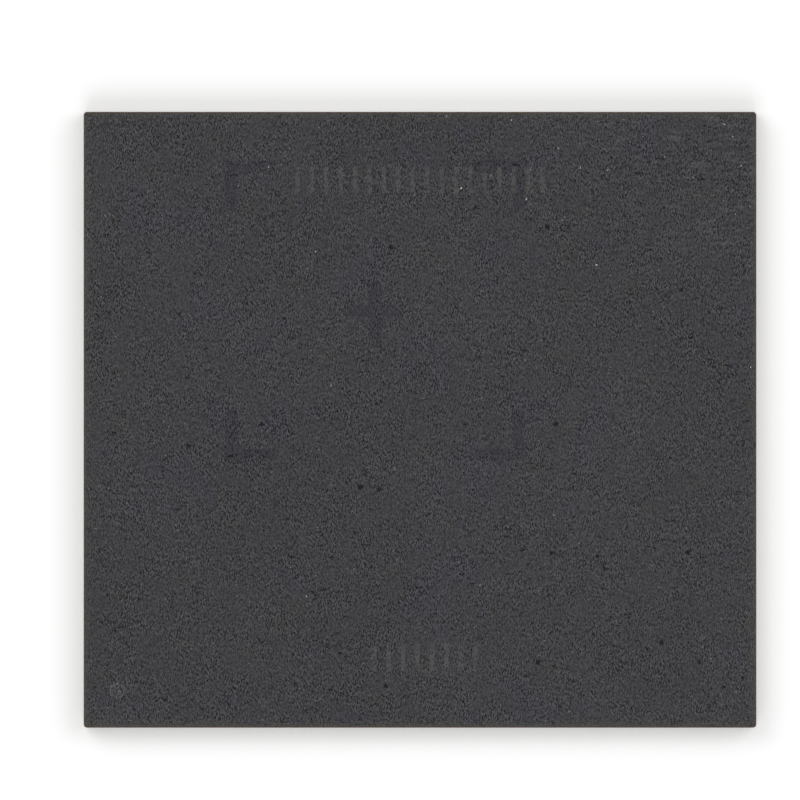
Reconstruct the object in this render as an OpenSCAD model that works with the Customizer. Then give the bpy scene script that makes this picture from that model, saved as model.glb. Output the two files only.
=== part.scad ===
// Ball grid array memory package: four memory dies side by side on a thin
// laminate, wire bonded, moulded over in black epoxy and carried on a frame of
// solder balls. Millimetres, +Z up, ball tips on z = 0, centred on the Z axis.

/* [Ball grid] */
// Centre distance between neighbouring balls
ball_pitch = 0.3; // [0.27:0.01:0.35]
// Balls along each full row of the long edges
ball_columns = 51; // [41:2:61]
// Full rows along each long edge
ball_rows = 3; // [2:1:3]
// Ball rows between the two full bands
side_rows = 40; // [36:1:46]
// Centre distance from a full band to the first side row
band_gap = 0.4; // [0.35:0.01:0.5]
// Diameter of a reflowed ball
ball_d = 0.2; // [0.18:0.005:0.21]
// Diameter of the ball's flat seat on its pad
ball_seat_d = 0.14; // [0.12:0.005:0.15]

/* [Substrate] */
// From the outer ball centres to the sawn edge
edge_margin = 0.2; // [0.18:0.01:0.4]
// Radius on the sawn corners
corner_r = 0.08; // [0.04:0.01:0.12]
// Thickness of the glass laminate core
core_t = 0.1; // [0.06:0.01:0.2]
// Thickness of each copper layer
copper_t = 0.015; // [0.01:0.001:0.025]
// Thickness of solder mask over the copper
mask_t = 0.02; // [0.015:0.001:0.03]
// Diameter of a ball pad
pad_d = 0.23; // [0.21:0.005:0.24]
// Gap between a ball and the edge of its mask opening
mask_clearance = 0.004; // [0.002:0.001:0.01]
// Diameter of a copper-filled via
via_d = 0.06; // [0.04:0.005:0.08]
// Diameter of a via's land on the copper layers
via_land_d = 0.11; // [0.1:0.005:0.12]

/* [Copper pours] */
// Gap between a pour and the pads and lands that it passes
pour_gap = 0.02; // [0.015:0.005:0.03]
// From a pour to the substrate's sawn edge
pour_edge_gap = 0.08; // [0.06:0.01:0.1]
// Chamfer at the corners of a pour
pour_chamfer = 0.05; // [0.02:0.01:0.06]
// Width of the strip beside the side balls
strip_w = 0.165; // [0.12:0.005:0.18]
// From the outer ball column to the plane where it is wide
plane_wide_inset = 0.5; // [0.48:0.01:0.55]
// From the outer ball column to the plane elsewhere
plane_inset = 0.8; // [0.76:0.01:0.85]

/* [Mould] */
// Thickness of the mould cap above the substrate
cap_t = 0.36; // [0.3:0.01:0.6]
// Set-back of the cap from the substrate's sawn edge
cap_inset = 0.02; // [0.01:0.005:0.04]
// Diameter of the corner mark for ball A1
corner_mark_d = 0.39; // [0.2:0.01:0.6]
// Depth of the corner mark
corner_mark_depth = 0.015; // [0.01:0.005:0.03]
// Corner mark's centre from the left edge
corner_mark_x = 0.78; // [0.6:0.01:1.2]
// Corner mark's centre from the front edge
corner_mark_y = 0.86; // [0.6:0.01:1.2]

/* [Dies] */
// Thickness of a silicon die
die_t = 0.1; // [0.06:0.01:0.12]
// Thickness of the adhesive film under a die
film_t = 0.02; // [0.01:0.005:0.03]
// From the second column of side balls to a die
die_side_margin = 0.5; // [0.45:0.05:0.7]
// From the innermost full row of balls to a die
die_end_margin = 0.1; // [0.05:0.05:0.6]
// Gap between the left and right dies
die_gap_x = 1.3; // [1.2:0.05:2]
// Gap between the front and back dies
die_gap_y = 0.5; // [0.2:0.05:1]

/* [Wire bonds] */
// Bonds along each bonded edge of a die
bond_count = 16; // [8:1:20]
// From the die's corner to its first bond
bond_end_margin = 0.4; // [0.2:0.05:1]
// From the die's bonded edge to its bond pads
bond_inset = 0.08; // [0.05:0.01:0.15]
// Thickness of the bonding wire
wire_t = 0.02; // [0.015:0.001:0.025]
// Straight rise of a wire above the die
wire_rise = 0.05; // [0.03:0.005:0.08]
// Bend radius at the top of a wire
wire_bend_r = 0.03; // [0.02:0.005:0.05]
// Diameter of the ball bond on the die
ball_bond_d = 0.05; // [0.04:0.005:0.06]
// Height of the ball bond on the die
ball_bond_h = 0.012; // [0.008:0.001:0.02]
// Length of a bond finger
finger_l = 0.32; // [0.28:0.01:0.34]
// Width of a bond finger
finger_w = 0.1; // [0.08:0.005:0.12]
// From the die's edge to its bond fingers
finger_gap = 0.08; // [0.06:0.01:0.1]
// Length of wire stitched flat to a finger
stitch_l = 0.05; // [0.03:0.005:0.07]
// From a finger's far end to the wire's end
stitch_inset = 0.05; // [0.04:0.01:0.08]
// Width of the slot in the mask over a row of fingers
slot_w = 0.23; // [0.18:0.01:0.25]

/* [Hidden] */
$fn = 48;

DIES = [1, 2, 3, 4];

// Side rows are counted from the back.
// First and last row of each run that has no ball in the outer column
gap_runs = [[2, 3], [5, 5], [9, 10], [12, 12]];
outer_gaps = [for (run = gap_runs, r = [run[0] : run[1]]) r];
// Rows that have a second ball
second_balls = [0, 1, 6, 7, 8, 16];
// Rows between which the plane is wide
wide_rows = [8.5, 24];
// Rows between which a pour carries the second ball that stands alone
lone_rows = [14.2, 18];
// Rows where the strip starts, begins to flare, meets the plane and ends
strip_rows = [24.4, 30.4, 32, 32.8];

// Plan sizes
field_x = (ball_columns - 1) * ball_pitch;
side_y = (side_rows - 1) * ball_pitch;
field_y = side_y + 2 * (band_gap + (ball_rows - 1) * ball_pitch);
body_x = field_x + 2 * edge_margin;
body_y = field_y + 2 * edge_margin;
die_x = (field_x - die_gap_x) / 2 - ball_pitch - die_side_margin;
die_y = (field_y - die_gap_y) / 2 - (ball_rows - 1) * ball_pitch - die_end_margin;
bond_pitch = (die_y - 2 * bond_end_margin) / (bond_count - 1);

// Where each finger's via stands, from the die's edge
via_offset = finger_gap + via_land_d / 2;

// Levels, from the ball tips up
ball_h = ball_d / 2 + sqrt(pow(ball_d / 2, 2) - pow(ball_seat_d / 2, 2));
z_pad = ball_h;
z_mask_bottom = z_pad - mask_t;
z_core = z_pad + copper_t;
z_core_top = z_core + core_t;
z_finger = z_core_top + copper_t;
z_substrate = z_finger + mask_t;
z_film_top = z_substrate + film_t;
z_die_top = z_film_top + die_t;
z_top = z_substrate + cap_t;

// A ball's radius where it passes the mask's outer face, and the opening around it
ball_r_at_mask = sqrt(pow(ball_d / 2, 2) - pow(z_mask_bottom - ball_d / 2, 2));
opening_r = ball_r_at_mask + mask_clearance;

// How far a cutting shape runs past the face it opens
eps = 0.05;

// ---- Positions ----

// Centres of the balls in one full band; side is 1 at the back, -1 at the front
function band_balls(side) = [
    for (r = [0 : ball_rows - 1], c = [0 : ball_columns - 1])
        [c * ball_pitch - field_x / 2, side * (field_y / 2 - r * ball_pitch)]
];

// Place of side row r along Y
function row_y(r) = side_y / 2 - r * ball_pitch;

function is_in(value, list) = len(search(value, list)) > 0;

// Centres of the balls down one side; side is 1 at the right, -1 at the left
function side_balls(side) = [
    for (r = [0 : side_rows - 1], c = [0, 1])
        if (c == 0 ? !is_in(r, outer_gaps) : is_in(r, second_balls))
            [side * (field_x / 2 - c * ball_pitch), row_y(r)]
];

all_balls = concat(band_balls(1), band_balls(-1), side_balls(1), side_balls(-1));

// Centre of die i; 1 and 2 are at the back, 1 and 3 at the left
function die_centre(i) = [
    (i % 2 == 1 ? -1 : 1) * (die_x + die_gap_x) / 2,
    (i <= 2 ? 1 : -1) * (die_y + die_gap_y) / 2
];

// Offsets of the bonds along a die's edge
bond_rows = [for (n = [0 : bond_count - 1]) (n - (bond_count - 1) / 2) * bond_pitch];

// ---- Shapes ----

module rounded_plate(x, y, h, r) {
    linear_extrude(h) {
        square([x - 2 * r, y], center = true);
        square([x, y - 2 * r], center = true);
        for (sx = [-1, 1], sy = [-1, 1])
            translate([sx * (x / 2 - r), sy * (y / 2 - r)]) circle(r);
    }
}

module substrate_layer(z, h) {
    translate([0, 0, z]) rounded_plate(body_x, body_y, h, corner_r);
}

module ball() {
    intersection() {
        translate([0, 0, ball_d / 2]) sphere(d = ball_d);
        cylinder(d = ball_d + eps, h = ball_h);
    }
}

module balls(places) {
    for (p = places) translate([p.x, p.y, 0]) ball();
}

// Runs its children at both bonded edges of die i, with +X pointing off the die
module at_bonded_edges(i) {
    for (side = [-1, 1])
        translate(die_centre(i)) mirror([side < 0 ? 1 : 0, 0, 0])
            translate([die_x / 2, 0]) children();
}

module bond_fingers(i) {
    at_bonded_edges(i)
        for (y = bond_rows)
            translate([finger_gap, y - finger_w / 2, z_core_top])
                cube([finger_l, finger_w, copper_t]);
}

module at_vias(i) {
    at_bonded_edges(i)
        for (y = bond_rows) translate([via_offset, y]) children();
}

module chamfered_pour(low, high) {
    c = pour_chamfer;
    linear_extrude(copper_t)
        polygon([
            [low.x + c, low.y], [high.x - c, low.y],
            [high.x, low.y + c], [high.x, high.y - c],
            [high.x - c, high.y], [low.x + c, high.y],
            [low.x, high.y - c], [low.x, low.y + c]
        ]);
}

// Plane under the dies, wider where the side balls leave room
module ground_plane() {
    x = field_x / 2 - plane_inset;
    wide_x = field_x / 2 - plane_wide_inset;
    chamfered_pour([-x, -side_y / 2], [x, side_y / 2]);
    chamfered_pour([-wide_x, row_y(wide_rows[1])], [wide_x, row_y(wide_rows[0])]);
}

// Strip along the right-hand side balls, which flares inwards to the plane
module side_strip() {
    outer = field_x / 2 - pad_d / 2 - pour_gap;
    inner = outer - strip_w;
    plane_x = field_x / 2 - plane_inset;
    y = [for (r = strip_rows) row_y(r)];
    c = pour_chamfer;
    linear_extrude(copper_t)
        polygon([
            [outer, y[3] + c], [outer, y[0] - c], [outer - c, y[0]],
            [inner + c, y[0]], [inner, y[0] - c], [inner, y[1]],
            [plane_x, y[2]], [plane_x, y[3]], [outer - c, y[3]]
        ]);
}

// Pours among the right-hand side balls: where balls are left out, and under a lone one
module side_patches() {
    for (run = gap_runs)
        chamfered_pour([field_x / 2 - 0.6 * ball_pitch, row_y(run[1] + 0.5)],
                       [body_x / 2 - pour_edge_gap, row_y(run[0] - 0.5)]);
    chamfered_pour([field_x / 2 - plane_wide_inset + 2 * pour_gap, row_y(lone_rows[1])],
                   [field_x / 2 - pad_d / 2 - pour_gap, row_y(lone_rows[0])]);
}

module at_both_sides() {
    children();
    mirror([1, 0, 0]) children();
}

// Every pour of the lower copper layer, cut back round the via lands
module pours() {
    difference() {
        union() {
            ground_plane();
            at_both_sides() side_strip();
        }
        for (i = DIES)
            at_vias(i)
                translate([0, 0, -eps])
                    cylinder(d = via_land_d + 2 * pour_gap, h = copper_t + 2 * eps);
    }
    at_both_sides() side_patches();
}

// Slots that leave the outer part of the fingers bare
module finger_slots(z, h) {
    slot_l = die_y - 2 * bond_end_margin + 3 * finger_w;
    for (i = DIES)
        at_bonded_edges(i)
            translate([finger_gap + finger_l - slot_w, -slot_l / 2, z])
                cube([slot_w + finger_gap / 2, slot_l, h]);
}

// Unit vector square to the line from a to b, on its left
function normal(a, b) = [a.y - b.y, b.x - a.x] / norm(b - a);

// Where the left edge of a band of half width h passes the corner at b
function mitre(a, b, c, h) =
    let (n = normal(a, b), sum = n + normal(b, c)) b + sum * h / (sum * n);

// One long edge of a band of half width h along a line of points
function band_edge(line, h) =
    let (last = len(line) - 1) [
        line[0] + h * normal(line[0], line[1]),
        for (k = [1 : last - 1]) mitre(line[k - 1], line[k], line[k + 1], h),
        line[last] + h * normal(line[last - 1], line[last])
    ];

function reversed(list) = [for (k = [len(list) - 1 : -1 : 0]) list[k]];

// One wire: ball bond on the die, up, over a bend and down to its stitch on the finger
module bond_wire() {
    span = bond_inset + finger_gap + finger_l - stitch_inset;
    z_bend = z_die_top + wire_rise;
    z_stitch = z_finger + wire_t / 2;
    line = [
        [0, z_die_top],
        [0, z_bend],
        [wire_bend_r * (1 - cos(45)), z_bend + wire_bend_r * sin(45)],
        [wire_bend_r, z_bend + wire_bend_r],
        [span - stitch_l, z_stitch],
        [span, z_stitch]
    ];
    translate([-bond_inset, 0, 0]) {
        translate([0, wire_t / 2, 0]) rotate([90, 0, 0]) linear_extrude(wire_t)
            polygon(concat(band_edge(line, wire_t / 2),
                           reversed(band_edge(line, -wire_t / 2))));
        translate([0, 0, z_die_top]) cylinder(d = ball_bond_d, h = ball_bond_h);
    }
}

// ---- Sub-parts ----

module memory_die(i) {
    color("dimgray") translate([0, 0, z_film_top])
        translate(die_centre(i)) translate([-die_x / 2, -die_y / 2, 0])
            cube([die_x, die_y, die_t]);
}

module die_film(i) {
    color("moccasin") translate([0, 0, z_substrate])
        translate(die_centre(i)) translate([-die_x / 2, -die_y / 2, 0])
            cube([die_x, die_y, film_t]);
}

module bond_wires(i) {
    color("gold") at_bonded_edges(i)
        for (y = bond_rows) translate([0, y, 0]) bond_wire();
}

module mold_cap() {
    color([0.25, 0.25, 0.26]) difference() {
        union() {
            translate([0, 0, z_substrate])
                rounded_plate(body_x - 2 * cap_inset, body_y - 2 * cap_inset,
                              cap_t, corner_r);
            finger_slots(z_core_top, copper_t + mask_t + eps);
        }
        for (i = DIES) {
            memory_die(i);
            die_film(i);
            bond_wires(i);
            bond_fingers(i);
        }
        translate([corner_mark_x - body_x / 2, corner_mark_y - body_y / 2,
                   z_top - corner_mark_depth])
            cylinder(d = corner_mark_d, h = corner_mark_depth + eps);
    }
}

module upper_solder_mask() {
    color("darkgreen") difference() {
        substrate_layer(z_core_top, copper_t + mask_t);
        upper_copper();
        finger_slots(z_core_top - eps, copper_t + mask_t + 2 * eps);
    }
}

module upper_copper() {
    color("goldenrod") for (i = DIES) bond_fingers(i);
}

module core_laminate() {
    color("tan") difference() {
        substrate_layer(z_core, core_t);
        translate([0, 0, z_core - eps]) vias(core_t + 2 * eps);
    }
}

module vias(h) {
    for (i = DIES) at_vias(i) cylinder(d = via_d, h = h);
}

module via_fills() {
    color("peru") translate([0, 0, z_core]) vias(core_t);
}

module lower_copper() {
    color("peru") translate([0, 0, z_pad]) {
        for (p = all_balls) translate(p) cylinder(d = pad_d, h = copper_t);
        for (i = DIES) at_vias(i) cylinder(d = via_land_d, h = copper_t);
        pours();
    }
}

module lower_solder_mask() {
    color("darkgreen") difference() {
        substrate_layer(z_mask_bottom, mask_t + copper_t);
        lower_copper();
        for (p = all_balls)
            translate([p.x, p.y, z_mask_bottom - eps])
                cylinder(r = opening_r, h = mask_t + 2 * eps);
    }
}

module solder_balls(places) {
    color("silver") balls(places);
}

mold_cap();
upper_solder_mask();
upper_copper();
core_laminate();
via_fills();
lower_copper();
lower_solder_mask();
solder_balls(band_balls(1));  // solder_balls_north
solder_balls(band_balls(-1));  // solder_balls_south
solder_balls(side_balls(1));  // solder_balls_east
solder_balls(side_balls(-1));  // solder_balls_west
for (i = DIES) {
    memory_die(i);
    die_film(i);
    bond_wires(i);
}
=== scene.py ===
"""Looks of a thin ball grid array memory package: moulded cap, sawn laminate, solder balls."""
import math

import bmesh
import bpy
import numpy as np
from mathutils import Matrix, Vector
from mathutils.kdtree import KDTree


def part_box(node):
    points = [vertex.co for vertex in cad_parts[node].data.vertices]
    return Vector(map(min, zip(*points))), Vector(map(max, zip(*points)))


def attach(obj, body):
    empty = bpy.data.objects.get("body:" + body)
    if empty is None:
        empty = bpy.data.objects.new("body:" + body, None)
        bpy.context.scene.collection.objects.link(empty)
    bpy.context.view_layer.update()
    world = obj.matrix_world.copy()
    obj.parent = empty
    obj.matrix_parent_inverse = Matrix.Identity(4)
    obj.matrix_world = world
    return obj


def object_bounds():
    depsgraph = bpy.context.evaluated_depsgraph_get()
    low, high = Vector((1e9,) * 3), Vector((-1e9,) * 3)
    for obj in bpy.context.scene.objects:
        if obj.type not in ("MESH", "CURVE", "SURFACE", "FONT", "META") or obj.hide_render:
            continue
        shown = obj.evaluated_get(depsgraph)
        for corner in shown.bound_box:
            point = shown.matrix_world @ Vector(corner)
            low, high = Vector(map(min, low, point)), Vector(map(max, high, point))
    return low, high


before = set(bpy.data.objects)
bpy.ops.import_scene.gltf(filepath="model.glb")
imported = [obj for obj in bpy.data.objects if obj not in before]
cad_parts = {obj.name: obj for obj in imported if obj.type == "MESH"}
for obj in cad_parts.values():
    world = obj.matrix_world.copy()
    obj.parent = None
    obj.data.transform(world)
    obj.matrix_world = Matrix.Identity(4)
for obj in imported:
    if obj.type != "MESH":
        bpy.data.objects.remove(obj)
cad_low, cad_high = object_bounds()

MM = 0.001
PER_MM = 1000.0

# ---- Places, all read from the frame ----

cap_low, cap_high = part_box("mold_cap")
mask_low, mask_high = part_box("lower_solder_mask")
BALL_NODES = ["solder_balls_north", "solder_balls_south", "solder_balls_east", "solder_balls_west"]
BALL_PARTING = 0.05 * MM
MARK_SHALLOWEST, MARK_DEEPEST = 0.005 * MM, 0.03 * MM


def node_points(node):
    """The vertices of a CAD node as an array, one row each."""
    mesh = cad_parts[node].data
    flat = np.empty(len(mesh.vertices) * 3, dtype=np.float32)
    mesh.vertices.foreach_get("co", flat)
    return flat.reshape(-1, 3)


def clusters(values, parting):
    """Splits the order of the values wherever two neighbours lie further apart than parting."""
    order = np.argsort(values)
    breaks = np.where(np.diff(values[order]) > parting)[0] + 1
    return np.split(order, breaks)


def solid_centres(node, parting):
    """Plan centres of a node's separate solids, which stand in rows along X."""
    points = node_points(node)
    found = []
    for row in clusters(points[:, 1], parting):
        for column in clusters(points[row, 0], parting):
            own = points[row][column]
            found.append((own.min(axis=0) + own.max(axis=0)) / 2)
    return [Vector((float(p[0]), float(p[1]), 0.0)) for p in found]


def recess_centre():
    """Plan centre of the round mark sunk into the cap's top face."""
    points = node_points("mold_cap")
    depth = cap_high.z - points[:, 2]
    own = points[(depth > MARK_SHALLOWEST) & (depth < MARK_DEEPEST)]
    return (own.min(axis=0) + own.max(axis=0)) / 2


ball_places = [p for node in BALL_NODES for p in solid_centres(node, BALL_PARTING)]
via_places = solid_centres("via_fills", BALL_PARTING)
corner_mark = recess_centre()

# ---- Node trees ----

SOCKETS = {"value": "NodeSocketFloat", "vector": "NodeSocketVector"}


class Graph:
    """Short ways to add nodes to one node tree and join them."""

    def __init__(self, tree):
        self.tree = tree

    def put(self, socket, value):
        if isinstance(value, bpy.types.NodeSocket):
            self.tree.links.new(value, socket)
        else:
            socket.default_value = value

    def node(self, kind, inputs=None, **settings):
        made = self.tree.nodes.new(kind)
        for name, value in settings.items():
            setattr(made, name, value)
        for key, value in (inputs or {}).items():
            self.put(made.inputs[key], value)
        return made

    def math(self, operation, first, second=0.0):
        inputs = {0: first} if operation in ("ABSOLUTE", "FRACT") else {0: first, 1: second}
        return self.node("ShaderNodeMath", inputs, operation=operation).outputs[0]

    def times(self, first, *others):
        for other in others:
            first = self.math("MULTIPLY", first, other)
        return first

    def ramp(self, value, low, high, start=0.0, end=1.0):
        """The value moved smoothly from low..high to start..end, and held beyond them."""
        inputs = {"Value": value, "From Min": low, "From Max": high, "To Min": start, "To Max": end}
        made = self.node("ShaderNodeMapRange", inputs, interpolation_type="SMOOTHSTEP")
        return made.outputs["Result"]

    def noise(self, place, scale, detail=2.0, roughness=0.5, distortion=0.0):
        inputs = {"Vector": place, "Scale": scale, "Detail": detail,
                  "Roughness": roughness, "Distortion": distortion}
        return self.node("ShaderNodeTexNoise", inputs).outputs[0]

    def cells(self, place, scale, output="Distance"):
        made = self.node("ShaderNodeTexVoronoi", {"Vector": place, "Scale": scale})
        return made.outputs[output]

    def mix(self, factor, first, second, blend="MIX"):
        made = self.node("ShaderNodeMix", data_type="RGBA", blend_type=blend)
        for socket, value in zip((0, 6, 7), (factor, first, second)):
            self.put(made.inputs[socket], value)
        return made.outputs[2]

    def place(self):
        """Object coordinates in millimetres."""
        source = self.node("ShaderNodeTexCoord").outputs["Object"]
        inputs = {"Vector": source, "Scale": (PER_MM,) * 3}
        return self.node("ShaderNodeMapping", inputs).outputs["Vector"]

    def stretch(self, place, scale, turn=0.0):
        inputs = {"Vector": place, "Scale": scale, "Rotation": (0.0, 0.0, turn)}
        return self.node("ShaderNodeMapping", inputs).outputs["Vector"]

    def parts(self, vector):
        made = self.node("ShaderNodeSeparateXYZ", {0: vector})
        return made.outputs[0], made.outputs[1], made.outputs[2]

    def facing(self):
        """How far the surface faces up (1), sideways (0) or down (-1)."""
        normal = self.node("ShaderNodeNewGeometry").outputs["Normal"]
        return self.parts(normal)[2]

    def bump(self, height, depth, strength=1.0):
        inputs = {"Height": height, "Distance": depth, "Strength": strength}
        return self.node("ShaderNodeBump", inputs).outputs["Normal"]

    def group(self, tree, **inputs):
        made = self.node("ShaderNodeGroup")
        made.node_tree = tree
        for key, value in inputs.items():
            self.put(made.inputs[key.replace("_", " ")], value)
        return made.outputs


def shader_group(name, inputs, outputs):
    """An empty shader group with named sockets: its graph, its inputs and its output node."""
    tree = bpy.data.node_groups.new(name, "ShaderNodeTree")
    for label, (kind, value) in inputs.items():
        socket = tree.interface.new_socket(label, in_out="INPUT", socket_type=SOCKETS[kind])
        socket.default_value = value
    for label in outputs:
        tree.interface.new_socket(label, in_out="OUTPUT", socket_type=SOCKETS["value"])
    graph = Graph(tree)
    return graph, graph.node("NodeGroupInput").outputs, graph.node("NodeGroupOutput").inputs


def grain_group():
    """Filled moulding compound: fine uneven speckle, dark pits, larger voids, bright grains."""
    graph, given, out = shader_group(
        "moulded_grain",
        {"Place": ("vector", (0.0, 0.0, 0.0)), "Grains per mm": ("value", 12.0)},
        ["Tone", "Pits", "Voids", "Glints"])
    place, fine = given["Place"], given["Grains per mm"]
    strands = [graph.noise(graph.stretch(place, (1.15, 0.5, 1.0), turn), fine,
                           detail=1.6, roughness=0.7)
               for turn in (0.5, 2.1)]
    lie = graph.ramp(graph.noise(place, 3.3, detail=2.0), 0.46, 0.54)
    speckle = graph.node("ShaderNodeMix", {0: lie, 2: strands[0], 3: strands[1]}).outputs[0]
    patches = graph.ramp(graph.noise(place, 1.7, detail=3.0, roughness=0.65), 0.36, 0.62, 0.55, 1.2)
    swing = graph.times(graph.math("SUBTRACT", speckle, 0.5), patches)
    graph.put(out["Tone"], graph.ramp(swing, -0.21, 0.21))
    dashes = graph.noise(graph.stretch(place, (0.55, 1.25, 1.0), 0.3), graph.times(fine, 0.4),
                         detail=2.0, roughness=0.6, distortion=0.8)
    crowd = graph.ramp(graph.noise(place, 2.6, detail=2.0), 0.35, 0.6, -0.04, 0.02)
    graph.put(out["Pits"], graph.ramp(graph.math("SUBTRACT", dashes, crowd), 0.345, 0.285))
    wander = {"Vector": place, "Scale": 16.0, "Detail": 2.0}
    wander = graph.node("ShaderNodeTexNoise", wander).outputs["Color"]
    ragged = graph.node("ShaderNodeVectorMath", {0: wander, 1: (0.07, 0.07, 0.07), 2: place},
                        operation="MULTIPLY_ADD").outputs[0]
    voids_per_mm = 2.0
    reach = graph.cells(ragged, voids_per_mm)
    lot = graph.parts(graph.cells(ragged, voids_per_mm, output="Color"))[1]
    size = graph.ramp(lot, 0.5, 1.0, 0.03, 0.15)
    graph.put(out["Voids"], graph.ramp(graph.math("SUBTRACT", reach, size), 0.0, -0.05))
    glints = graph.noise(place, graph.times(fine, 0.5), detail=1.0, roughness=0.4)
    graph.put(out["Glints"], graph.ramp(glints, 0.74, 0.82))
    return graph.tree


def bar_row_group():
    """A row of plain upright bars, faint as a worn laser mark."""
    graph, given, out = shader_group(
        "bar_row",
        {"Place": ("vector", (0.0, 0.0, 0.0)),
         "Centre X": ("value", 0.0), "Centre Y": ("value", 0.0),
         "Length": ("value", 3.0), "Height": ("value", 0.6), "Pitch": ("value", 0.3),
         "Bar width": ("value", 0.09)},
        ["Mask"])
    x, y, _ = graph.parts(given["Place"])
    across = graph.math("SUBTRACT", x, given["Centre X"])
    up = graph.math("ABSOLUTE", graph.math("SUBTRACT", y, given["Centre Y"]))
    cell = graph.math("FRACT", graph.math("DIVIDE", across, given["Pitch"]))
    off = graph.math("ABSOLUTE", graph.math("SUBTRACT", cell, 0.5))
    bars = graph.math("SUBTRACT", graph.times(given["Bar width"], 0.5),
                      graph.times(off, given["Pitch"]))
    ends = graph.math("SUBTRACT", graph.times(given["Length"], 0.5),
                      graph.math("ABSOLUTE", across))
    tops = graph.math("SUBTRACT", graph.times(given["Height"], 0.5), up)
    soft = 0.012
    masks = [graph.ramp(edge, -soft, soft) for edge in (bars, ends, tops)]
    graph.put(out["Mask"], graph.times(*masks))
    return graph.tree


def bracket_group():
    """Four corner brackets round a blank square field, with a small plus in its middle."""
    graph, given, out = shader_group(
        "field_brackets",
        {"Place": ("vector", (0.0, 0.0, 0.0)),
         "Centre X": ("value", 0.0), "Centre Y": ("value", 0.0),
         "Half side": ("value", 3.0), "Arm": ("value", 1.0), "Stroke": ("value", 0.25)},
        ["Mask"])
    x, y, _ = graph.parts(given["Place"])
    across = graph.math("ABSOLUTE", graph.math("SUBTRACT", x, given["Centre X"]))
    up = graph.math("ABSOLUTE", graph.math("SUBTRACT", y, given["Centre Y"]))
    far = graph.math("MAXIMUM", across, up)
    near = graph.math("MINIMUM", across, up)
    side, stroke, soft = given["Half side"], given["Stroke"], 0.02
    outer = graph.math("SUBTRACT", side, far)
    band = graph.math("MINIMUM", outer, graph.math("SUBTRACT", stroke, outer))
    reach = graph.math("SUBTRACT", near, graph.math("SUBTRACT", side, given["Arm"]))
    corners = graph.ramp(graph.math("MINIMUM", band, reach), -soft, soft)
    bar = graph.math("SUBTRACT", graph.times(stroke, 0.5), near)
    length = graph.math("SUBTRACT", graph.times(given["Arm"], 0.6), far)
    plus = graph.ramp(graph.math("MINIMUM", bar, length), -soft, soft)
    graph.put(out["Mask"], graph.math("MAXIMUM", corners, plus))
    return graph.tree


def edge_group():
    """Wear along the outline of a rectangle centred on the Z axis: 1 at the rim, 0 inside."""
    graph, given, out = shader_group(
        "edge_wear",
        {"Place": ("vector", (0.0, 0.0, 0.0)), "Half X": ("value", 1.0), "Half Y": ("value", 1.0),
         "Reach": ("value", 0.1)},
        ["Mask"])
    x, y, _ = graph.parts(given["Place"])
    side = graph.math("SUBTRACT", given["Half X"], graph.math("ABSOLUTE", x))
    end = graph.math("SUBTRACT", given["Half Y"], graph.math("ABSOLUTE", y))
    inward = graph.math("MINIMUM", side, end)
    ragged = graph.noise(given["Place"], 6.0, detail=3.0, roughness=0.7)
    reach = graph.times(given["Reach"], graph.ramp(ragged, 0.3, 0.7, 0.3, 1.5))
    graph.put(out["Mask"], graph.ramp(graph.math("DIVIDE", inward, reach), 1.0, 0.0))
    return graph.tree


def saw_group():
    """Fine lines that a dicing saw leaves along a cut side, and a slow unevenness."""
    graph, given, out = shader_group(
        "saw_lines", {"Place": ("vector", (0.0, 0.0, 0.0)), "Lines per mm": ("value", 60.0)},
        ["Lines", "Unevenness"])
    along = graph.stretch(given["Place"], (0.04, 0.04, 1.0))
    lines = graph.noise(along, given["Lines per mm"], detail=3.0, roughness=0.65)
    graph.put(out["Lines"], graph.ramp(lines, 0.28, 0.72))
    slow = graph.noise(given["Place"], 2.2, detail=2.0)
    graph.put(out["Unevenness"], graph.ramp(slow, 0.3, 0.7))
    return graph.tree


def dust_group():
    """A thin uneven haze of handling dust and smears."""
    graph, given, out = shader_group(
        "dust_haze", {"Place": ("vector", (0.0, 0.0, 0.0)), "Patches per mm": ("value", 0.5)},
        ["Haze"])
    patches = graph.noise(given["Place"], given["Patches per mm"], detail=4.0, roughness=0.6)
    motes = graph.noise(given["Place"], graph.times(given["Patches per mm"], 40.0), detail=2.0)
    graph.put(out["Haze"],
              graph.times(graph.ramp(patches, 0.35, 0.7), graph.ramp(motes, 0.4, 0.7)))
    return graph.tree


GRAIN = grain_group()
BAR_ROW = bar_row_group()
BRACKETS = bracket_group()
EDGE_WEAR = edge_group()
SAW_LINES = saw_group()
DUST = dust_group()

# ---- Materials ----


def new_material(name):
    material = bpy.data.materials.new(name)
    material.use_nodes = True
    material.node_tree.nodes.clear()
    return material, Graph(material.node_tree)


def shine(graph, **inputs):
    """The surface shader and the material's output, with its sockets set or joined by name."""
    named = {key.replace("_", " "): value for key, value in inputs.items()}
    surface = graph.node("ShaderNodeBsdfPrincipled", named)
    graph.node("ShaderNodeOutputMaterial", {"Surface": surface.outputs["BSDF"]})


def shade(level, tint=(1.0, 1.0, 1.0)):
    """A linear colour from a display level of 0 to 255 and a tint."""
    value = level / 255.0
    linear = value / 12.92 if value <= 0.04045 else ((value + 0.055) / 1.055) ** 2.4
    return tuple(linear * t for t in tint) + (1.0,)


# Marks on the cap, in millimetres
FIELD = {"Centre_X": -1.03, "Centre_Y": 2.49, "Half_side": 3.43, "Arm": 1.15, "Stroke": 0.27}
UPPER_ROW = {"Centre_X": 0.0, "Centre_Y": 5.49, "Length": 5.72, "Height": 0.6,
             "Pitch": 0.33, "Bar_width": 0.1}
LOWER_ROW = {"Centre_X": 0.11, "Centre_Y": -5.42, "Length": 2.6, "Height": 0.64,
             "Pitch": 0.33, "Bar_width": 0.1}
MARK_INSIDE, MARK_OUTSIDE = 0.19, 0.205


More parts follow.
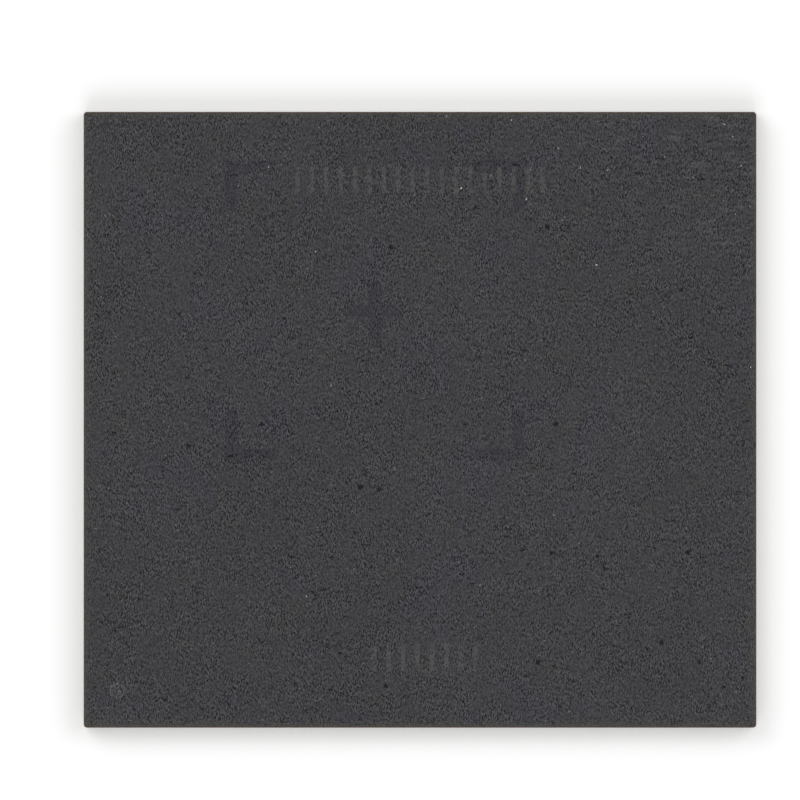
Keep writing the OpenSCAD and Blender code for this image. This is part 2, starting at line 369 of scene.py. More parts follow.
def mould_epoxy():
    """Black filled epoxy: speckled moulded top with faint laser marks, and sawn sides."""
    material, graph = new_material("mould_epoxy")
    place = graph.place()
    grain = graph.group(GRAIN, Place=place, Grains_per_mm=31.0)
    top = graph.ramp(graph.facing(), 0.5, 0.9)

    colour = graph.mix(grain["Tone"], shade(8, (1.0, 0.98, 1.08)), shade(84, (1.0, 0.98, 1.07)))
    holes = graph.math("MAXIMUM", grain["Pits"], graph.times(grain["Voids"], top))
    colour = graph.mix(graph.times(holes, 0.9), colour, shade(10))
    colour = graph.mix(graph.times(grain["Glints"], 0.75), colour, shade(118))

    tint = graph.ramp(graph.noise(place, 0.8, detail=3.0, roughness=0.6), 0.5, 0.72)
    colour = graph.mix(graph.times(tint, 0.3), colour, (0.9, 0.93, 1.25, 1.0), blend="MULTIPLY")
    mottle = graph.noise(place, 2.4, detail=3.0, roughness=0.6, distortion=0.5)
    mottle = graph.ramp(mottle, 0.56, 0.7)
    colour = graph.mix(graph.times(mottle, 0.4), colour, (1.0, 1.0, 0.78, 1.0), blend="MULTIPLY")
    field = graph.times(graph.group(BRACKETS, Place=place, **FIELD)["Mask"], top)
    colour = graph.mix(field, colour, (0.8, 0.785, 0.85, 1.0), blend="MULTIPLY")
    rows = [graph.group(BAR_ROW, Place=place, **row)["Mask"] for row in (UPPER_ROW, LOWER_ROW)]
    worn = graph.ramp(graph.noise(place, 9.0, detail=3.0, roughness=0.7), 0.32, 0.62)
    bars = graph.times(graph.math("MAXIMUM", *rows), worn, top)
    colour = graph.mix(graph.times(bars, 0.55), colour, shade(90, (1.0, 1.0, 0.95)))

    x, y, _ = graph.parts(place)
    from_mark = graph.node("ShaderNodeVectorMath", {
        0: graph.node("ShaderNodeCombineXYZ", {0: x, 1: y}).outputs[0],
        1: (corner_mark[0] * PER_MM, corner_mark[1] * PER_MM, 0.0)}, operation="DISTANCE")
    disc = graph.times(graph.ramp(from_mark.outputs["Value"], MARK_OUTSIDE, MARK_INSIDE), top)
    colour = graph.mix(disc, colour, (1.5, 1.5, 1.46, 1.0), blend="MULTIPLY")

    edge = graph.group(EDGE_WEAR, Place=place, Half_X=cap_high.x * PER_MM,
                       Half_Y=cap_high.y * PER_MM, Reach=0.2)["Mask"]
    colour = graph.mix(graph.times(edge, 0.45), colour, shade(76, (1.0, 1.02, 0.84)))
    haze = graph.group(DUST, Place=place, Patches_per_mm=0.35)["Haze"]
    colour = graph.mix(graph.times(haze, 0.10), colour, shade(105))
    # Lighter streaks on the top, growing towards its far corner (+X, +Y).
    toward_far_corner = graph.math("ADD", graph.math("DIVIDE", x, cap_high.x * PER_MM),
                         graph.math("DIVIDE", y, cap_high.y * PER_MM))
    far_corner_streaks = graph.noise(graph.stretch(place, (2.2, 9.0, 1.0), -0.5), 1.0,
                         detail=4.0, roughness=0.7)
    far_corner_streaks = graph.times(graph.ramp(toward_far_corner, 1.1, 1.8), graph.ramp(far_corner_streaks, 0.52, 0.72), top)
    colour = graph.mix(graph.times(far_corner_streaks, 0.3), colour, shade(118, (1.0, 1.0, 0.97)))

    saw = graph.group(SAW_LINES, Place=place, Lines_per_mm=55.0)
    side = graph.mix(saw["Lines"], shade(44), shade(74))
    side = graph.mix(graph.times(saw["Unevenness"], 0.3), side, shade(88, (1.02, 1.0, 0.96)))
    side = graph.mix(graph.times(grain["Glints"], 0.6), side, shade(140))
    colour = graph.mix(top, side, colour)

    height = graph.math("SUBTRACT", graph.mix(top, saw["Lines"], grain["Tone"]), holes)
    roughness = graph.ramp(grain["Tone"], 0.0, 1.0, 0.72, 0.55)
    shine(graph, Base_Color=colour, Roughness=roughness, Specular_IOR_Level=0.1,
          Normal=graph.bump(height, 0.003 * MM, 0.6))
    return material


def solder_mask(name, seed, rim):
    """Dark green solder mask in brown and green patches, with its own colour at the sawn rim."""
    material, graph = new_material(name)
    place = graph.place()
    moved = {"Vector": place, "Location": (seed, seed, 0.0)}
    moved = graph.node("ShaderNodeMapping", moved).outputs[0]
    large = graph.noise(moved, 0.45, detail=3.0, roughness=0.55, distortion=0.6)
    weave = graph.noise(graph.stretch(moved, (3.0, 22.0, 1.0), 0.78), 1.0, detail=2.0)
    fine = graph.noise(moved, 18.0, detail=3.0, roughness=0.7)
    brown, green = shade(53, (1.0, 0.95, 0.3)), shade(55, (0.86, 1.15, 0.36))
    colour = graph.mix(graph.ramp(large, 0.4, 0.6), brown, green)
    threads = graph.times(graph.ramp(weave, 0.45, 0.65), 0.25)
    colour = graph.mix(threads, colour, shade(40, (1.1, 1.0, 0.3)))
    specks = graph.times(graph.ramp(fine, 0.3, 0.7), 0.35)
    colour = graph.mix(specks, colour, shade(34, (0.95, 1.0, 0.4)))
    edge = graph.group(EDGE_WEAR, Place=place, Half_X=mask_high.x * PER_MM,
                       Half_Y=mask_high.y * PER_MM, Reach=0.11)["Mask"]
    colour = graph.mix(graph.times(edge, 0.8), colour, rim)
    haze = graph.group(DUST, Place=moved, Patches_per_mm=0.9)["Haze"]
    colour = graph.mix(graph.times(haze, 0.22), colour, shade(112, (0.97, 1.0, 0.8)))
    height = graph.math("ADD", graph.times(large, 1.5), graph.times(fine, 0.35))
    roughness = graph.ramp(fine, 0.3, 0.7, 0.3, 0.46)
    shine(graph, Base_Color=colour, Roughness=roughness, Specular_IOR_Level=0.15,
          Normal=graph.bump(height, 0.003 * MM, 0.7))
    return material


def sawn_laminate():
    """Tan glass-cloth laminate, cut through by a saw so that its fibre bundles show."""
    material, graph = new_material("sawn_laminate")
    place = graph.place()
    saw = graph.group(SAW_LINES, Place=place, Lines_per_mm=90.0)
    bundles = graph.noise(graph.stretch(place, (2.6, 2.6, 34.0)), 1.0, detail=2.0, distortion=0.4)
    ends = graph.cells(graph.stretch(place, (1.0, 1.0, 1.6)), 26.0)
    resin, glass = shade(128, (1.1, 0.8, 0.5)), shade(176, (1.0, 0.88, 0.64))
    colour = graph.mix(graph.ramp(bundles, 0.4, 0.62), resin, glass)
    gaps = graph.times(graph.ramp(ends, 0.1, 0.45), 0.4)
    colour = graph.mix(gaps, colour, shade(92, (1.15, 0.72, 0.42)))
    colour = graph.mix(graph.times(saw["Unevenness"], 0.35), colour, shade(112, (1.0, 0.9, 0.5)))
    colour = graph.mix(graph.times(saw["Lines"], 0.2), colour, shade(190, (1.0, 0.93, 0.78)))
    height = graph.math("ADD", saw["Lines"], graph.ramp(ends, 0.0, 0.5))
    shine(graph, Base_Color=colour, Roughness=graph.ramp(bundles, 0.3, 0.7, 0.85, 0.6),
          Specular_IOR_Level=0.25, Normal=graph.bump(height, 0.004 * MM, 0.8))
    return material


def reflowed_solder():
    """Tin alloy balls: satin, faintly crystalline; at the tip a painted dark reflection over a
    duller, probe-marked patch.
    """
    material, graph = new_material("reflowed_solder")
    place = graph.place()
    _, _, z = graph.parts(place)
    crystals = graph.cells(place, 34.0, output="Color")
    crystal = graph.parts(crystals)[0]
    each = graph.noise(place, 2.4, detail=1.0)
    scuffs = graph.noise(place, 26.0, detail=3.0, roughness=0.65)
    dull, bright = shade(205, (1.0, 1.0, 0.95)), shade(228, (1.0, 1.0, 0.96))
    colour = graph.mix(graph.ramp(crystal, 0.0, 1.0), dull, bright)
    colour = graph.mix(graph.ramp(each, 0.38, 0.66), colour, shade(196, (1.0, 0.97, 0.88)))
    # Painted dark reflection of the camera at each ball's tip, broken by real scuffs; the same mask
    # also dulls and roughens the metal there.
    painted_tip_reflection_and_dulling = graph.times(graph.ramp(graph.math("ADD", z, graph.times(scuffs, -0.03)), 0.0, -0.016),
                      graph.ramp(scuffs, 0.3, 0.5))
    colour = graph.mix(graph.times(painted_tip_reflection_and_dulling, 0.8), colour, shade(104, (1.0, 0.96, 0.84)))
    collar = graph.ramp(z, mask_low.z * PER_MM - 0.03, mask_low.z * PER_MM)
    colour = graph.mix(graph.times(collar, 0.5), colour, shade(120, (1.0, 0.96, 0.8)))
    roughness = graph.math("ADD", graph.ramp(scuffs, 0.3, 0.7, 0.3, 0.5), graph.times(painted_tip_reflection_and_dulling, 0.25))
    height = graph.math("ADD", scuffs, graph.times(crystal, 0.4))
    shine(graph, Base_Color=colour, Metallic=graph.ramp(painted_tip_reflection_and_dulling, 0.0, 1.0, 0.92, 0.5),
          Roughness=roughness, Normal=graph.bump(height, 0.003 * MM, 0.7))
    return material


PLATING_DEPTH = 0.001 * MM


def plated_metal(name, dark, light):
    """Plated or drawn metal with a fine nodular grain and slow tarnish."""
    material, graph = new_material(name)
    place = graph.place()
    nodules = graph.cells(place, 70.0)
    tarnish = graph.noise(place, 3.0, detail=3.0, roughness=0.6)
    colour = graph.mix(graph.ramp(tarnish, 0.35, 0.68), light, dark)
    colour = graph.mix(graph.times(graph.ramp(nodules, 0.2, 0.7), 0.3), colour, dark)
    shine(graph, Base_Color=colour, Metallic=1.0,
          Roughness=graph.ramp(tarnish, 0.3, 0.7, 0.28, 0.5),
          Normal=graph.bump(nodules, PLATING_DEPTH, 0.5))
    return material


def ground_silicon():
    """Dark silicon with the faint rings that back grinding leaves."""
    material, graph = new_material("ground_silicon")
    place = graph.place()
    inputs = {"Vector": place, "Scale": 1.4, "Distortion": 0.3, "Detail": 2.0}
    rings = graph.node("ShaderNodeTexWave", inputs, wave_type="RINGS").outputs[0]
    fine = graph.noise(place, 40.0, detail=2.0)
    dark, light = shade(76, (0.96, 0.98, 1.05)), shade(104, (0.97, 1.0, 1.08))
    colour = graph.mix(graph.times(rings, 0.5), dark, light)
    colour = graph.mix(graph.times(fine, 0.3), colour, shade(64))
    shine(graph, Base_Color=colour, Metallic=0.6,
          Roughness=graph.ramp(fine, 0.3, 0.7, 0.24, 0.4),
          Normal=graph.bump(graph.math("ADD", rings, fine), 0.001 * MM, 0.5))
    return material


def adhesive_film():
    """Amber die film, slightly cloudy."""
    material, graph = new_material("adhesive_film")
    place = graph.place()
    cloud = graph.noise(place, 1.6, detail=3.0, roughness=0.6)
    fine = graph.noise(place, 30.0, detail=2.0)
    dark, light = shade(170, (1.0, 0.78, 0.42)), shade(196, (1.0, 0.86, 0.56))
    colour = graph.mix(graph.ramp(cloud, 0.35, 0.65), dark, light)
    shine(graph, Base_Color=colour, Roughness=graph.ramp(fine, 0.3, 0.7, 0.4, 0.6),
          Specular_IOR_Level=0.4, Normal=graph.bump(fine, 0.001 * MM, 0.5))
    return material


COPPER = plated_metal("plated_copper", shade(150, (1.15, 0.62, 0.42)), shade(205, (1.1, 0.7, 0.52)))
GOLD = plated_metal("bond_gold", shade(188, (1.1, 0.82, 0.42)), shade(228, (1.05, 0.86, 0.5)))
SOLDER = reflowed_solder()
NODE_MATERIALS = {
    "mold_cap": mould_epoxy(),
    "upper_solder_mask": solder_mask("upper_mask", 31.0, shade(138, (1.35, 0.74, 0.5))),
    "lower_solder_mask": solder_mask("lower_mask", 7.0, shade(94, (0.9, 1.1, 0.42))),
    "core_laminate": sawn_laminate(),
    "upper_copper": GOLD,
    "lower_copper": COPPER,
    "via_fills": COPPER,
    **{node: SOLDER for node in BALL_NODES},
}
SILICON, FILM = ground_silicon(), adhesive_film()
for die in (1, 2, 3, 4):
    NODE_MATERIALS[f"memory_die_{die}"] = SILICON
    NODE_MATERIALS[f"die_film_{die}"] = FILM
    NODE_MATERIALS[f"bond_wires_{die}"] = GOLD
for node, material in NODE_MATERIALS.items():
    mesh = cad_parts[node].data
    for index in range(len(mesh.materials)):
        mesh.materials[index] = material

# ---- Pieces ----

GEOMETRY_SOCKETS = {"value": "NodeSocketFloat", "count": "NodeSocketInt",
                    "material": "NodeSocketMaterial", "object": "NodeSocketObject"}


def geometry_tree(name, inputs):
    """An empty Geometry Nodes tree with named inputs: its graph and its input sockets."""
    tree = bpy.data.node_groups.new(name, "GeometryNodeTree")
    tree.interface.new_socket("Geometry", in_out="INPUT", socket_type="NodeSocketGeometry")
    for label, (kind, value) in inputs.items():
        socket = tree.interface.new_socket(label, in_out="INPUT",
                                           socket_type=GEOMETRY_SOCKETS[kind])
        if value is not None:
            socket.default_value = value
    tree.interface.new_socket("Geometry", in_out="OUTPUT", socket_type="NodeSocketGeometry")
    graph = Graph(tree)
    return graph, graph.node("NodeGroupInput").outputs


def finish_tree(graph, geometry, material):
    """Ends a tree in Realize Instances, smooth shading and Set Material."""
    solid = graph.node("GeometryNodeRealizeInstances", {"Geometry": geometry}).outputs[0]
    smooth = graph.node("GeometryNodeSetShadeSmooth", {"Geometry": solid}).outputs[0]
    painted = graph.node("GeometryNodeSetMaterial", {"Geometry": smooth, "Material": material})
    graph.node("NodeGroupOutput", {"Geometry": painted.outputs[0]})
    return graph.tree


def points_mesh(name, points):
    mesh = bpy.data.meshes.new(name)
    mesh.from_pydata([tuple(p) for p in points], [], [])
    return mesh


def grown_piece(name, mesh, tree, slot, **values):
    """Runs a tree on a mesh with the named inputs, and keeps the result as a plain piece."""
    piece = bpy.data.objects.new(name, mesh)
    bpy.context.collection.objects.link(piece)
    modifier = piece.modifiers.new("grow", "NODES")
    modifier.node_group = tree
    wanted = {key.replace("_", " "): value for key, value in values.items()}
    for item in tree.interface.items_tree:
        if item.in_out == "INPUT" and item.name in wanted:
            modifier[item.identifier] = wanted[item.name]
    settled = piece.evaluated_get(bpy.context.evaluated_depsgraph_get())
    made = bpy.data.meshes.new_from_object(settled)
    piece.modifiers.clear()
    piece.data = made
    keep_piece(piece)


def keep_piece(piece):
    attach(piece, "root")


RIM_SIDES, BEAD_SIDES = 10, 4


def rim_tree():
    """A low collar round each point, as solder mask rises over the rim of a pad."""
    graph, given = geometry_tree("mask_rims", {
        "Radius": ("value", 0.0001), "Width": ("value", 0.00003), "Height": ("value", 0.000006),
        "Material": ("material", None)})
    half_width = graph.times(given["Width"], 0.5)
    ring, bead = [
        graph.node("GeometryNodeCurvePrimitiveCircle",
                   {"Resolution": sides, "Radius": radius}).outputs[0]
        for sides, radius in ((RIM_SIDES, given["Radius"]), (BEAD_SIDES, half_width))]
    collar = graph.node("GeometryNodeCurveToMesh", {0: ring, 1: bead}).outputs[0]
    flat = graph.math("DIVIDE", given["Height"], half_width)
    flat = graph.node("ShaderNodeCombineXYZ", {0: 1.0, 1: 1.0, 2: flat}).outputs[0]
    collar = graph.node("GeometryNodeTransform", {"Geometry": collar, "Scale": flat}).outputs[0]
    rims = graph.node("GeometryNodeInstanceOnPoints",
                      {"Points": given["Geometry"], "Instance": collar}).outputs[0]
    return finish_tree(graph, rims, given["Material"])


def random_value(graph, kind, low, high, seed):
    """A random value or vector for each point, from a fixed seed."""
    made = graph.node("FunctionNodeRandomValue", data_type=kind)
    vector = kind == "FLOAT_VECTOR"
    graph.put(made.inputs[0 if vector else 2], low)
    graph.put(made.inputs[1 if vector else 3], high)
    graph.put(made.inputs["Seed"], seed)
    return made.outputs[0 if vector else 1]


def crumb(graph, uneven, seed):
    """A small uneven lump of radius 1, of 20 faces."""
    ball = graph.node("GeometryNodeMeshIcoSphere", {"Radius": 1.0, "Subdivisions": 1}).outputs[0]
    shift = random_value(graph, "FLOAT_VECTOR", (-1.0, -1.0, -1.0), (1.0, 1.0, 1.0), seed)
    shift = graph.node("ShaderNodeVectorMath", {0: shift, "Scale": uneven}, operation="SCALE")
    shift = shift.outputs[0]
    return graph.node("GeometryNodeSetPosition", {"Geometry": ball, "Offset": shift}).outputs[0]


FULL_TURN = 6.28
TILT = 0.25


def crumb_tree():
    """Crumbs strewn over a surface by its own density, kept clear of the points of an object."""
    graph, given = geometry_tree("crumbs", {
        "Per square mm": ("value", 1.0), "Smallest": ("value", 0.00001),
        "Largest": ("value", 0.00003), "Flatness": ("value", 0.35),
        "Clearance": ("value", 0.0), "Keep clear of": ("object", None),
        "Seed": ("count", 1), "Material": ("material", None)})
    own = graph.node("GeometryNodeInputNamedAttribute", {"Name": "crowding"},
                     data_type="FLOAT").outputs[0]
    density = graph.times(given["Per square mm"], own, PER_MM * PER_MM)
    spread = graph.node("GeometryNodeDistributePointsOnFaces", {
        "Mesh": given["Geometry"], "Density": density, "Seed": given["Seed"]},
        distribute_method="RANDOM").outputs[0]
    others = graph.node("GeometryNodeObjectInfo", {"Object": given["Keep clear of"]})
    near = graph.node("GeometryNodeProximity", {0: others.outputs["Geometry"]},
                      target_element="POINTS").outputs["Distance"]
    close = graph.node("FunctionNodeCompare", {0: near, 1: given["Clearance"]},
                       operation="LESS_THAN").outputs[0]
    clear = graph.node("GeometryNodeDeleteGeometry",
                       {"Geometry": spread, "Selection": close}).outputs[0]
    size = random_value(graph, "FLOAT", 0.0, 1.0, 11)
    size = graph.times(size, size, size)
    size = graph.node("ShaderNodeMapRange", {"Value": size, "To Min": given["Smallest"],
                                             "To Max": given["Largest"]}).outputs[0]
    scale = graph.node("ShaderNodeCombineXYZ", {0: size, 1: graph.times(size, 0.62),
                                                2: graph.times(size, given["Flatness"])}).outputs[0]
    turn = random_value(graph, "FLOAT_VECTOR", (-TILT, -TILT, 0.0), (TILT, TILT, FULL_TURN), 12)
    lumps = graph.node("GeometryNodeInstanceOnPoints", {
        "Points": clear, "Instance": crumb(graph, 0.34, 13),
        "Rotation": turn, "Scale": scale}).outputs[0]
    return finish_tree(graph, lumps, given["Material"])


def spatter_tree():
    """Beads of stray solder stuck to the flanks of a share of the points."""
    graph, given = geometry_tree("solder_spatter", {
        "Share": ("value", 0.05), "Reach": ("value", 0.0001), "Smallest": ("value", 0.00002),
        "Largest": ("value", 0.00005), "Seed": ("count", 1), "Material": ("material", None)})
    lot = random_value(graph, "FLOAT", 0.0, 1.0, given["Seed"])
    skip = graph.node("FunctionNodeCompare", {0: lot, 1: given["Share"]},
                      operation="GREATER_THAN").outputs[0]
    chosen = graph.node("GeometryNodeDeleteGeometry",
                        {"Geometry": given["Geometry"], "Selection": skip}).outputs[0]
    around = random_value(graph, "FLOAT", 0.0, FULL_TURN, 21)
    side = graph.node("ShaderNodeCombineXYZ", {
        0: graph.times(graph.math("COSINE", around), given["Reach"]),
        1: graph.times(graph.math("SINE", around), given["Reach"])}).outputs[0]
    moved = graph.node("GeometryNodeSetPosition", {"Geometry": chosen, "Offset": side}).outputs[0]
    size = random_value(graph, "FLOAT", given["Smallest"], given["Largest"], 22)
    turn = random_value(graph, "FLOAT_VECTOR", (-3.0, -3.0, -3.0), (3.0, 3.0, 3.0), 23)
    beads = graph.node("GeometryNodeInstanceOnPoints", {
        "Points": moved, "Instance": crumb(graph, 0.2, 24),
        "Rotation": turn, "Scale": size}).outputs[0]
    return finish_tree(graph, beads, given["Material"])


SHEET_STEPS = 12


def strewn_sheet(name, low, high, z, facing_up, crowding):
    """A flat grid over a box's plan, with how crowded each corner is, from 0 to 1."""
    steps = SHEET_STEPS
    xs = [low.x + (high.x - low.x) * i / steps for i in range(steps + 1)]
    ys = [low.y + (high.y - low.y) * i / steps for i in range(steps + 1)]
    faces = []
    for j in range(steps):
        for i in range(steps):
            first = j * (steps + 1) + i
            ring = (first, first + 1, first + steps + 2, first + steps + 1)
            faces.append(ring if facing_up else ring[::-1])
    mesh = bpy.data.meshes.new(name)
    mesh.from_pydata([(x, y, z) for y in ys for x in xs], [], faces)
    values = [crowding((x - low.x) / (high.x - low.x), (y - low.y) / (high.y - low.y))
              for y in ys for x in xs]
    mesh.attributes.new("crowding", "FLOAT", "POINT").data.foreach_set("value", values)
    return mesh


COPPER_RISE, COPPER_SLOPE = 0.006 * MM, 0.008 * MM
SKIRT_SINK = 0.001 * MM
WIDEST_LAND = 0.26 * MM
WELD, LEVEL_WITHIN = 1e-8, 1e-6


def raised_mask_over_copper(material):
    """The mask's low relief over the copper pours, from their own outlines, with sloping sides."""
    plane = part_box("lower_copper")[0].z
    shape = bmesh.new()
    shape.from_mesh(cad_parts["lower_copper"].data)
    bmesh.ops.remove_doubles(shape, verts=shape.verts, dist=WELD)
    off = [f for f in shape.faces if max(v.co.z for v in f.verts) > plane + LEVEL_WITHIN]
    bmesh.ops.delete(shape, geom=off, context="FACES")
    bmesh.ops.delete(shape, geom=small_islands(shape, WIDEST_LAND), context="FACES")
    for vert in shape.verts:
        vert.co.z = mask_low.z - COPPER_RISE
    outline = [e for e in shape.edges if e.is_boundary]
    outward = {}
    for edge in outline:
        loop = edge.link_loops[0]
        along = loop.link_loop_next.vert.co - loop.vert.co
        side = along.cross(Vector((0.0, 0.0, 1.0))).normalized()
        side = side * (1 if loop.face.normal.z > 0 else -1)
        for vert in edge.verts:
            outward.setdefault(vert, Vector())
            outward[vert] += side
    skirt = bmesh.ops.extrude_edge_only(shape, edges=outline)["geom"]
    moved = [v for v in skirt if isinstance(v, bmesh.types.BMVert)]
    tree = KDTree(len(outward))
    sides = list(outward.values())
    for index, vert in enumerate(outward):
        tree.insert(vert.co, index)
    tree.balance()
    for vert in moved:
        _, index, _ = tree.find(vert.co)
        vert.co += sides[index].normalized() * COPPER_SLOPE
        vert.co.z = mask_low.z + SKIRT_SINK
    bmesh.ops.recalc_face_normals(shape, faces=shape.faces)
    mesh = bpy.data.meshes.new("mask_over_copper")
    shape.to_mesh(mesh)
    shape.free()
    mesh.materials.append(material)
    piece = bpy.data.objects.new("mask_over_copper", mesh)
    bpy.context.collection.objects.link(piece)
    keep_piece(piece)


def small_islands(shape, limit):
    """The faces of separate flat shapes no wider than limit, such as pads and lands."""
    left, found = set(shape.faces), []
    while left:
        island, edge_of_search = set(), [left.pop()]
        while edge_of_search:
            face = edge_of_search.pop()
            island.add(face)
            for edge in face.edges:
                for other in edge.link_faces:
                    if other in left:
                        left.discard(other)
                        edge_of_search.append(other)
        xs = [v.co.x for f in island for v in f.verts]
        if max(xs) - min(xs) < limit:
            found.extend(island)
    return found


def pale_debris():
    """Crumbs of pale dust and flux."""
    material, graph = new_material("pale_debris")
    place = graph.place()
    fine = graph.noise(place, 45.0, detail=2.0)
    dark, light = shade(150, (1.0, 1.0, 0.95)), shade(205, (1.0, 1.0, 0.97))
    colour = graph.mix(graph.ramp(fine, 0.35, 0.65), dark, light)
    sort = graph.parts(graph.cells(place, 3.0, output="Color"))[0]
    dirty = graph.ramp(sort, 0.2, 0.9, 0.75, 0.0)
    colour = graph.mix(dirty, colour, shade(105, (1.0, 1.0, 0.92)))
    shine(graph, Base_Color=colour, Roughness=graph.ramp(fine, 0.3, 0.7, 0.5, 0.8),
          Specular_IOR_Level=0.3, Normal=graph.bump(fine, 0.002 * MM, 0.7))
    return material


def mask_over_copper():
    """Solder mask where copper lies under it: greener, lighter and smoother."""
    material, graph = new_material("mask_over_copper")
    place = graph.place()
    cloud = graph.noise(place, 0.9, detail=3.0, roughness=0.6, distortion=0.5)
    fine = graph.noise(place, 20.0, detail=3.0, roughness=0.7)
    dark, light = shade(73, (0.72, 1.2, 0.44)), shade(81, (0.7, 1.22, 0.45))
    colour = graph.mix(graph.ramp(cloud, 0.25, 0.75), dark, light)
    specks = graph.times(graph.ramp(fine, 0.35, 0.7), 0.3)
    colour = graph.mix(specks, colour, shade(50, (0.8, 1.15, 0.4)))
    haze = graph.group(DUST, Place=place, Patches_per_mm=0.9)["Haze"]
    colour = graph.mix(graph.times(haze, 0.12), colour, shade(115, (0.95, 1.0, 0.8)))
    height = graph.math("ADD", cloud, graph.times(fine, 0.4))
    shine(graph, Base_Color=colour, Roughness=graph.ramp(fine, 0.3, 0.7, 0.26, 0.4),
          Specular_IOR_Level=0.18, Normal=graph.bump(height, 0.002 * MM, 0.6))
    return material


DEBRIS = pale_debris()
OVER_COPPER = mask_over_copper()
MASK = NODE_MATERIALS["lower_solder_mask"]
PAD_R = 0.115 * MM

SPATTER_DEPTH = 0.02 * MM
CAP_SINK = 0.001 * MM


def mask_crowding(u, v):
    """Crumbs gather in the outer strips, among the balls."""
    in_strips = min(u, 1 - u) < 0.08 or min(v, 1 - v) < 0.15
    return 1.0 if in_strips else 0.25


def cap_crowding(u, v):
    """Dust thickens towards the far right corner of the cap."""
    return 0.12 + 0.88 * max(0.0, u + v - 1.35) / 0.65


def lifted_points(name, places, z):
    return points_mesh(name, [p + Vector((0.0, 0.0, z)) for p in places])


rims, crumbs, spatter = rim_tree(), crumb_tree(), spatter_tree()
ball_points = lifted_points("ball_points", ball_places, mask_low.z)
keep_clear = bpy.data.objects.new("ball_points", ball_points)
grown_piece("mask_rims", ball_points, rims, "solder_mask",
            Radius=PAD_R - 0.012 * MM, Width=0.03 * MM, Height=0.006 * MM, Material=MASK)
grown_piece("via_rims", lifted_points("via_points", via_places, mask_low.z), rims, "solder_mask",
            Radius=0.03 * MM, Width=0.05 * MM, Height=0.005 * MM, Material=OVER_COPPER)
grown_piece("solder_spatter",
            lifted_points("spatter_points", ball_places, mask_low.z - SPATTER_DEPTH),
            spatter, "solder", Share=0.07, Reach=0.1 * MM, Smallest=0.018 * MM,
            Largest=0.042 * MM, Seed=5, Material=SOLDER)
grown_piece("mask_debris",
            strewn_sheet("mask_sheet", mask_low, mask_high, mask_low.z, False, mask_crowding),
            crumbs, "solder_mask", Per_square_mm=9.0, Smallest=0.006 * MM, Largest=0.032 * MM,
            Flatness=0.4, Clearance=0.118 * MM, Keep_clear_of=keep_clear, Seed=3, Material=DEBRIS)
grown_piece("cap_debris",
            strewn_sheet("cap_sheet", cap_low, cap_high, cap_high.z - CAP_SINK, True, cap_crowding),
            crumbs, "mould_epoxy", Per_square_mm=2.4, Smallest=0.004 * MM, Largest=0.038 * MM,
            Flatness=0.15, Clearance=0.0, Keep_clear_of=keep_clear, Seed=9, Material=DEBRIS)
raised_mask_over_copper(OVER_COPPER)

# ---- Floor, light and camera ----

FLOOR_HALF = 200.0 * MM
FLOOR_LEVEL = 0.9
AMBIENT = 0.4
CAMERA_LIFT = 0.18
MIRRORED_LEVEL = 0.95
LAMP_SIZE, LAMP_DISTANCE = 160.0 * MM, 260.0 * MM
LAMPS = (  # name, azimuth and elevation in degrees, share of a level face's light
    ("lamp_left", 140, 52, 0.22), ("lamp_right", 25, 52, 0.2), ("lamp_front", 265, 52, 0.2),
    ("lamp_below_left", 150, -55, 0.4), ("lamp_below_right", -30, -55, 0.4))


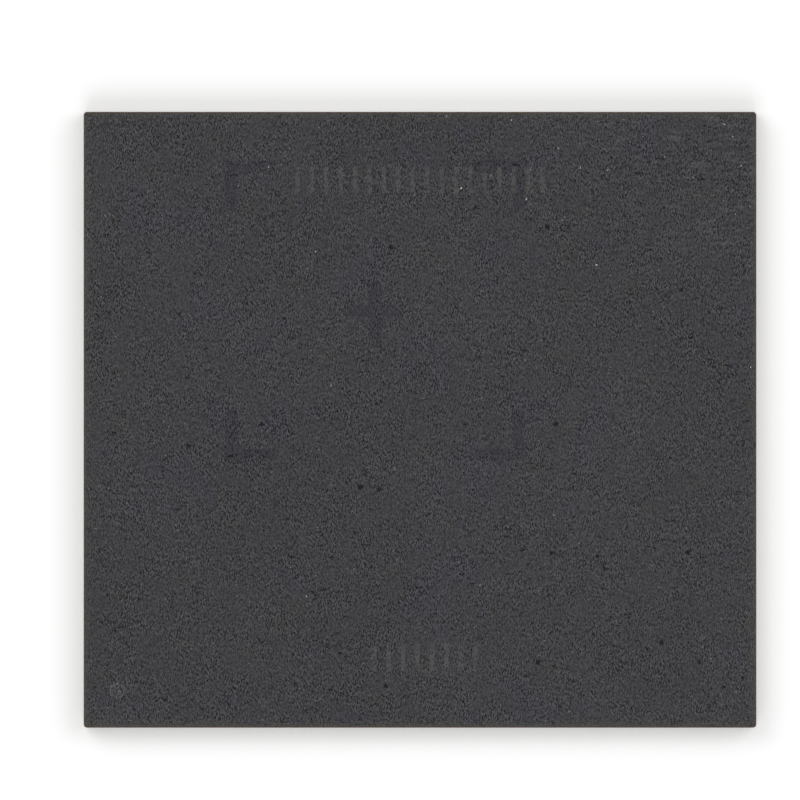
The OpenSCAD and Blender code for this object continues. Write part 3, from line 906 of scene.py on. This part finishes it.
def white_floor():
    """A plain floor that keeps shadows, shows white beyond them, and lets light up from below."""
    mesh = bpy.data.meshes.new("floor")
    corners = [(sx * FLOOR_HALF, sy * FLOOR_HALF, cad_low.z)
               for sx, sy in ((-1, -1), (1, -1), (1, 1), (-1, 1))]
    mesh.from_pydata(corners, [], [(0, 1, 2, 3)])
    floor = bpy.data.objects.new("floor", mesh)
    bpy.context.collection.objects.link(floor)
    material, graph = new_material("floor_white")
    rays = graph.node("ShaderNodeLightPath").outputs
    paint = graph.node("ShaderNodeBsdfDiffuse", {"Color": (FLOOR_LEVEL,) * 3 + (1.0,)}).outputs[0]
    lift = graph.times(rays["Is Camera Ray"], CAMERA_LIFT)
    lift = graph.node("ShaderNodeEmission", {"Strength": lift}).outputs[0]
    lifted = graph.node("ShaderNodeAddShader", {0: paint, 1: lift}).outputs[0]
    mirrored = graph.node("ShaderNodeEmission", {"Strength": MIRRORED_LEVEL}).outputs[0]
    front = graph.node("ShaderNodeMixShader",
                       {0: rays["Is Glossy Ray"], 1: lifted, 2: mirrored}).outputs[0]
    clear = graph.node("ShaderNodeBsdfTransparent").outputs[0]
    back = graph.node("ShaderNodeNewGeometry").outputs["Backfacing"]
    both = graph.node("ShaderNodeMixShader", {0: back, 1: front, 2: clear}).outputs[0]
    graph.node("ShaderNodeOutputMaterial", {"Surface": both})
    mesh.materials.append(material)
    floor.visible_shadow = False


def soft_world():
    """Even studio surround: white where it is seen or mirrored, gentler as light."""
    world = bpy.data.worlds.new("studio")
    world.use_nodes = True
    world.node_tree.nodes.clear()
    graph = Graph(world.node_tree)
    rays = graph.node("ShaderNodeLightPath").outputs
    seen = graph.math("MAXIMUM", rays["Is Camera Ray"], rays["Is Transmission Ray"])
    seen = graph.math("MAXIMUM", seen, rays["Is Glossy Ray"])
    strength = graph.ramp(seen, 0.0, 1.0, AMBIENT, 1.0)
    light = graph.node("ShaderNodeBackground", {"Color": (1.0, 1.0, 1.0, 1.0), "Strength": strength})
    graph.node("ShaderNodeOutputWorld", {"Surface": light.outputs[0]})
    bpy.context.scene.world = world


def lamp(name, azimuth, elevation, share):
    """A square soft lamp that gives a level face this share of full white light."""
    data = bpy.data.lights.new(name, "AREA")
    data.shape, data.size = "SQUARE", LAMP_SIZE
    around, up = math.radians(azimuth), math.radians(elevation)
    towards = Vector((math.cos(around) * math.cos(up), math.sin(around) * math.cos(up),
                      math.sin(up)))
    data.energy = share * math.pi ** 2 * LAMP_DISTANCE ** 2 / abs(math.sin(up))
    made = bpy.data.objects.new(name, data)
    made.location = towards * LAMP_DISTANCE
    made.rotation_mode = "QUATERNION"
    made.rotation_quaternion = towards.to_track_quat("Z", "Y")
    bpy.context.collection.objects.link(made)


VIEW_WIDTH = 18.3 * MM
VIEW_SHIFT = (-0.458 * MM, 0.452 * MM)
LENS = 1000.0


def camera_above():
    """Straight down from far off, with the package a little right of and below the middle."""
    data = bpy.data.cameras.new("camera")
    data.lens = LENS
    height = VIEW_WIDTH * LENS / data.sensor_width
    data.clip_start, data.clip_end = 1.0 * MM, height * 3
    made = bpy.data.objects.new("camera", data)
    made.location = (VIEW_SHIFT[0], VIEW_SHIFT[1], cap_high.z + height)
    bpy.context.collection.objects.link(made)
    bpy.context.scene.camera = made


camera_above()
soft_world()
for placed in LAMPS:
    lamp(*placed)
white_floor()

bpy.context.scene.view_settings.view_transform = "Standard"
